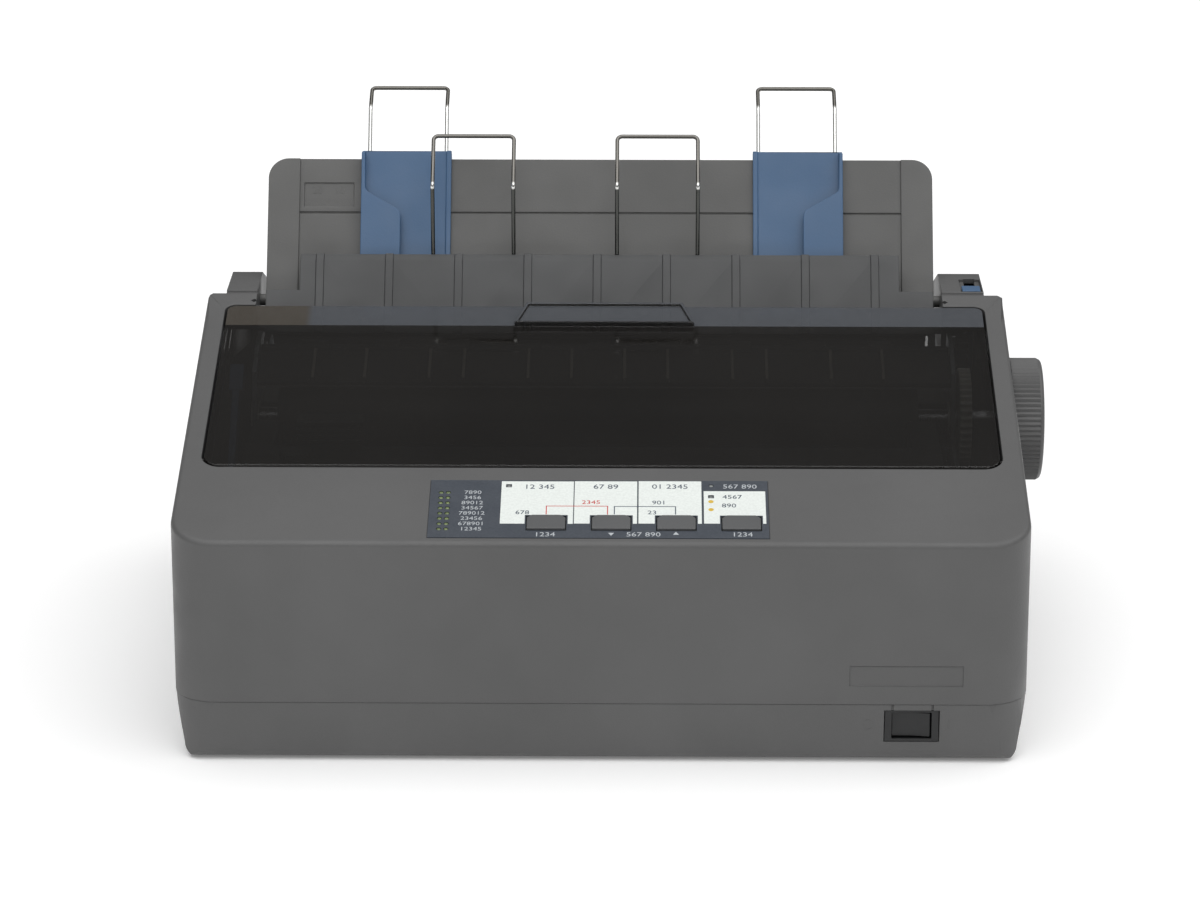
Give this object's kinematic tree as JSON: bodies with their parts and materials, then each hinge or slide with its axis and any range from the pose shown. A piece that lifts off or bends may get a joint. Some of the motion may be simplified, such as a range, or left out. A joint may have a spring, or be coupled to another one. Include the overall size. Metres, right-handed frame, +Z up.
{
  "type": "dot matrix printer",
  "caption": "Desktop impact printer with a flip-up smoked cover, folding paper guide with sliding edge guides, wire paper rests, push tractors and a geared platen.",
  "frame": {"origin": "middle of the footprint, knob included, on the surface that the rubber feet stand on", "axes": "+X to the printer's right (the knob's side), +Y to its back, +Z up"},
  "size_m": [0.362, 0.275, 0.2198],
  "materials": {
    "case_plastic": "textured",
    "guide_plastic": "textured",
    "smoked": "polished",
    "ribbed": "satin",
    "blue": "satin",
    "steel": "brushed",
    "wire": "polished",
    "zinc": "satin",
    "black": "satin",
    "button": "textured",
    "label": "satin",
    "lamp": "clear",
    "white_plastic": "satin",
    "rubber": "matte",
    "ribbon_fabric": "woven",
    "board": "satin"
  },
  "bodies": {
    "case": {"lower_case": "case_plastic", "upper_case": "case_plastic", "rubber_feet": "rubber", "case_screws": "steel", "paper_guide_cover": "ribbed", "control_label": "label", "panel_lamps": "lamp", "power_switch_housing": "black", "base_plate": "zinc", "side_plates": "zinc", "shaft_bushes": "white_plastic", "feed_motor": "zinc", "tractor_support_shaft": "steel", "eject_ramp": "black", "paper_pan": "zinc", "guide_shaft": "steel", "drive_belt": "rubber", "carriage_motor": "zinc", "ribbon_cartridge": "black", "ribbon": "ribbon_fabric", "circuit_boards": "board", "ac_inlet": "black", "interface_ports": "steel"},
    "cover": {"printer_cover": "smoked"},
    "guide": {"paper_guide": "guide_plastic"},
    "left_edge": {"left_edge_guide": "blue"},
    "right_edge": {"right_edge_guide": "blue"},
    "left_rear_wire": {"left_support_wire": "wire"},
    "right_rear_wire": {"right_support_wire": "wire"},
    "left_front_wire": {"left_stacker_wire": "wire"},
    "right_front_wire": {"right_stacker_wire": "wire"},
    "tear_off_key": {"tear_off_button": "button"},
    "line_feed_key": {"line_feed_button": "button"},
    "load_key": {"load_button": "button"},
    "pause_key": {"pause_button": "button"},
    "rocker": {"power_switch_rocker": "black"},
    "platen": {"platen_roller": "rubber", "platen_shaft": "steel", "platen_gear": "white_plastic", "platen_knob": "button"},
    "pinion": {"feed_pinion": "steel"},
    "feed_idler": {"feed_idler_gear": "white_plastic"},
    "tractor_idler": {"tractor_idler_gear": "white_plastic"},
    "tractor_drive": {"tractor_shaft": "steel"},
    "eject_idler": {"eject_idler_gear": "white_plastic"},
    "eject": {"eject_rollers": "rubber"},
    "pinch": {"pinch_rollers": "rubber"},
    "left_tractor_body": {"left_tractor": "black"},
    "right_tractor_body": {"right_tractor": "black"},
    "left_flap": {"left_tractor_cover": "button"},
    "right_flap": {"right_tractor_cover": "button"},
    "left_wheel": {"left_sprocket": "white_plastic"},
    "right_wheel": {"right_sprocket": "white_plastic"},
    "head": {"carriage": "black", "print_head": "black"},
    "motor_pulley": {"drive_pulley": "zinc"},
    "far_pulley": {"idler_pulley": "zinc"},
    "ribbon_crank": {"ribbon_knob": "button"},
    "gap_lever": {"head_gap_lever": "blue"},
    "feed_lever": {"release_lever": "blue"}
  },
  "joints": [
    {"name": "cover_hinge", "type": "hinge", "parent": "case", "child": "cover", "pos_m": [-0.007, -0.07563, 0.10901], "axis": [1, 0, 0], "range_deg": [0, 80]},
    {"name": "guide_fold", "type": "hinge", "parent": "case", "child": "guide", "pos_m": [-0.007, 0.0678, 0.13749], "axis": [1, 0, 0], "range_deg": [-60, 0]},
    {"name": "left_edge_slide", "type": "slide", "parent": "guide", "child": "left_edge", "axis": [1, 0, 0], "range_m": [-0.022, 0.045]},
    {"name": "right_edge_slide", "type": "slide", "parent": "guide", "child": "right_edge", "axis": [1, 0, 0], "range_m": [-0.045, 0.022]},
    {"name": "left_rear_wire_slide", "type": "slide", "parent": "left_edge", "child": "left_rear_wire", "axis": [0, 0.5, 0.866], "range_m": [-0.015, 0]},
    {"name": "right_rear_wire_slide", "type": "slide", "parent": "right_edge", "child": "right_rear_wire", "axis": [0, 0.5, 0.866], "range_m": [-0.015, 0]},
    {"name": "left_front_wire_fold", "type": "hinge", "parent": "case", "child": "left_front_wire", "pos_m": [-0.007, 0.06856, 0.15165], "axis": [1, 0, 0], "range_deg": [-12, 0]},
    {"name": "right_front_wire_fold", "type": "hinge", "parent": "case", "child": "right_front_wire", "pos_m": [-0.007, 0.06856, 0.15165], "axis": [1, 0, 0], "range_deg": [-12, 0]},
    {"name": "tear_off_press", "type": "slide", "parent": "case", "child": "tear_off_key", "axis": [0, 0.2529, -0.9675], "range_m": [0, 0.0008], "stiffness_N_per_m": 300, "springref_m": -0.0008},
    {"name": "line_feed_press", "type": "slide", "parent": "case", "child": "line_feed_key", "axis": [0, 0.2529, -0.9675], "range_m": [0, 0.0008], "stiffness_N_per_m": 300, "springref_m": -0.0008},
    {"name": "load_press", "type": "slide", "parent": "case", "child": "load_key", "axis": [0, 0.2529, -0.9675], "range_m": [0, 0.0008], "stiffness_N_per_m": 300, "springref_m": -0.0008},
    {"name": "pause_press", "type": "slide", "parent": "case", "child": "pause_key", "axis": [0, 0.2529, -0.9675], "range_m": [0, 0.0008], "stiffness_N_per_m": 300, "springref_m": -0.0008},
    {"name": "power_rock", "type": "hinge", "parent": "case", "child": "rocker", "pos_m": [0.1195, -0.1284, 0.0166], "axis": [0, 0, 1], "range_deg": [0, 16]},
    {"name": "platen_spin", "type": "hinge", "parent": "case", "child": "platen", "pos_m": [-0.007, 0.0085, 0.10207], "axis": [1, 0, 0], "continuous": true},
    {"name": "pinion_spin", "type": "hinge", "parent": "case", "child": "pinion", "pos_m": [0.148, 0.05011, 0.06964], "axis": [1, 0, 0], "continuous": true},
    {"name": "feed_idler_spin", "type": "hinge", "parent": "case", "child": "feed_idler", "pos_m": [0.148, 0.04005, 0.08692], "axis": [1, 0, 0], "continuous": true},
    {"name": "tractor_idler_spin", "type": "hinge", "parent": "case", "child": "tractor_idler", "pos_m": [0.148, 0.06652, 0.09226], "axis": [1, 0, 0], "continuous": true},
    {"name": "tractor_drive_spin", "type": "hinge", "parent": "case", "child": "tractor_drive", "pos_m": [-0.007, 0.09398, 0.09775], "axis": [1, 0, 0], "continuous": true},
    {"name": "eject_idler_spin", "type": "hinge", "parent": "case", "child": "eject_idler", "pos_m": [0.148, 0.03416, 0.11327], "axis": [1, 0, 0], "continuous": true},
    {"name": "eject_spin", "type": "hinge", "parent": "case", "child": "eject", "pos_m": [-0.007, 0.0285, 0.12607], "axis": [1, 0, 0], "continuous": true},
    {"name": "pinch_spin", "type": "hinge", "parent": "case", "child": "pinch", "pos_m": [-0.007, 0.0085, 0.08327], "axis": [1, 0, 0], "continuous": true},
    {"name": "left_tractor_slide", "type": "slide", "parent": "case", "child": "left_tractor_body", "axis": [1, 0, 0], "range_m": [-0.02, 0.04]},
    {"name": "right_tractor_slide", "type": "slide", "parent": "case", "child": "right_tractor_body", "axis": [1, 0, 0], "range_m": [-0.04, 0.02]},
    {"name": "left_wheel_spin", "type": "hinge", "parent": "left_tractor_body", "child": "left_wheel", "pos_m": [-0.119, 0.09398, 0.09775], "axis": [1, 0, 0], "continuous": true},
    {"name": "right_wheel_spin", "type": "hinge", "parent": "right_tractor_body", "child": "right_wheel", "pos_m": [0.1, 0.09398, 0.09775], "axis": [1, 0, 0], "continuous": true},
    {"name": "left_flap_hinge", "type": "hinge", "parent": "left_tractor_body", "child": "left_flap", "pos_m": [-0.1294, 0.09398, 0.11185], "axis": [0, -1, 0], "range_deg": [0, 100]},
    {"name": "right_flap_hinge", "type": "hinge", "parent": "right_tractor_body", "child": "right_flap", "pos_m": [0.1104, 0.09398, 0.11185], "axis": [0, 1, 0], "range_deg": [0, 100]},
    {"name": "head_slide", "type": "slide", "parent": "case", "child": "head", "axis": [1, 0, 0], "range_m": [0, 0.225]},
    {"name": "motor_pulley_spin", "type": "hinge", "parent": "case", "child": "motor_pulley", "pos_m": [0.123, -0.0535, 0.07607], "axis": [0, 0, 1], "range_deg": [-2160, 10]},
    {"name": "far_pulley_spin", "type": "hinge", "parent": "case", "child": "far_pulley", "pos_m": [-0.137, -0.0535, 0.07607], "axis": [0, 0, 1], "range_deg": [-2160, 10]},
    {"name": "ribbon_crank_spin", "type": "hinge", "parent": "case", "child": "ribbon_crank", "pos_m": [-0.135, -0.0585, 0.106], "axis": [0, 0, 1], "continuous": true},
    {"name": "gap_lever_turn", "type": "hinge", "parent": "case", "child": "gap_lever", "pos_m": [-0.165, -0.0315, 0.08207], "axis": [1, 0, 0], "range_deg": [-18, 0]},
    {"name": "feed_lever_turn", "type": "hinge", "parent": "case", "child": "feed_lever", "pos_m": [0.1538, 0.0675, 0.112], "axis": [1, 0, 0], "range_deg": [-18, 0]}
  ],
  "couplings": [
    {"joint": "pinion_spin", "follows": "platen_spin", "ratio": 3.5},
    {"joint": "feed_idler_spin", "follows": "platen_spin", "ratio": -1.5},
    {"joint": "tractor_idler_spin", "follows": "platen_spin", "ratio": 1.6154},
    {"joint": "tractor_drive_spin", "follows": "platen_spin", "ratio": -1.4},
    {"joint": "eject_idler_spin", "follows": "platen_spin", "ratio": -3},
    {"joint": "eject_spin", "follows": "platen_spin", "ratio": 3},
    {"joint": "pinch_spin", "follows": "platen_spin", "ratio": -2.3636},
    {"joint": "left_wheel_spin", "follows": "platen_spin", "ratio": -1.4},
    {"joint": "right_wheel_spin", "follows": "platen_spin", "ratio": -1.4},
    {"joint": "motor_pulley_spin", "follows": "head_slide", "rad_per_m": -166.67},
    {"joint": "far_pulley_spin", "follows": "head_slide", "rad_per_m": -166.67}
  ]
}
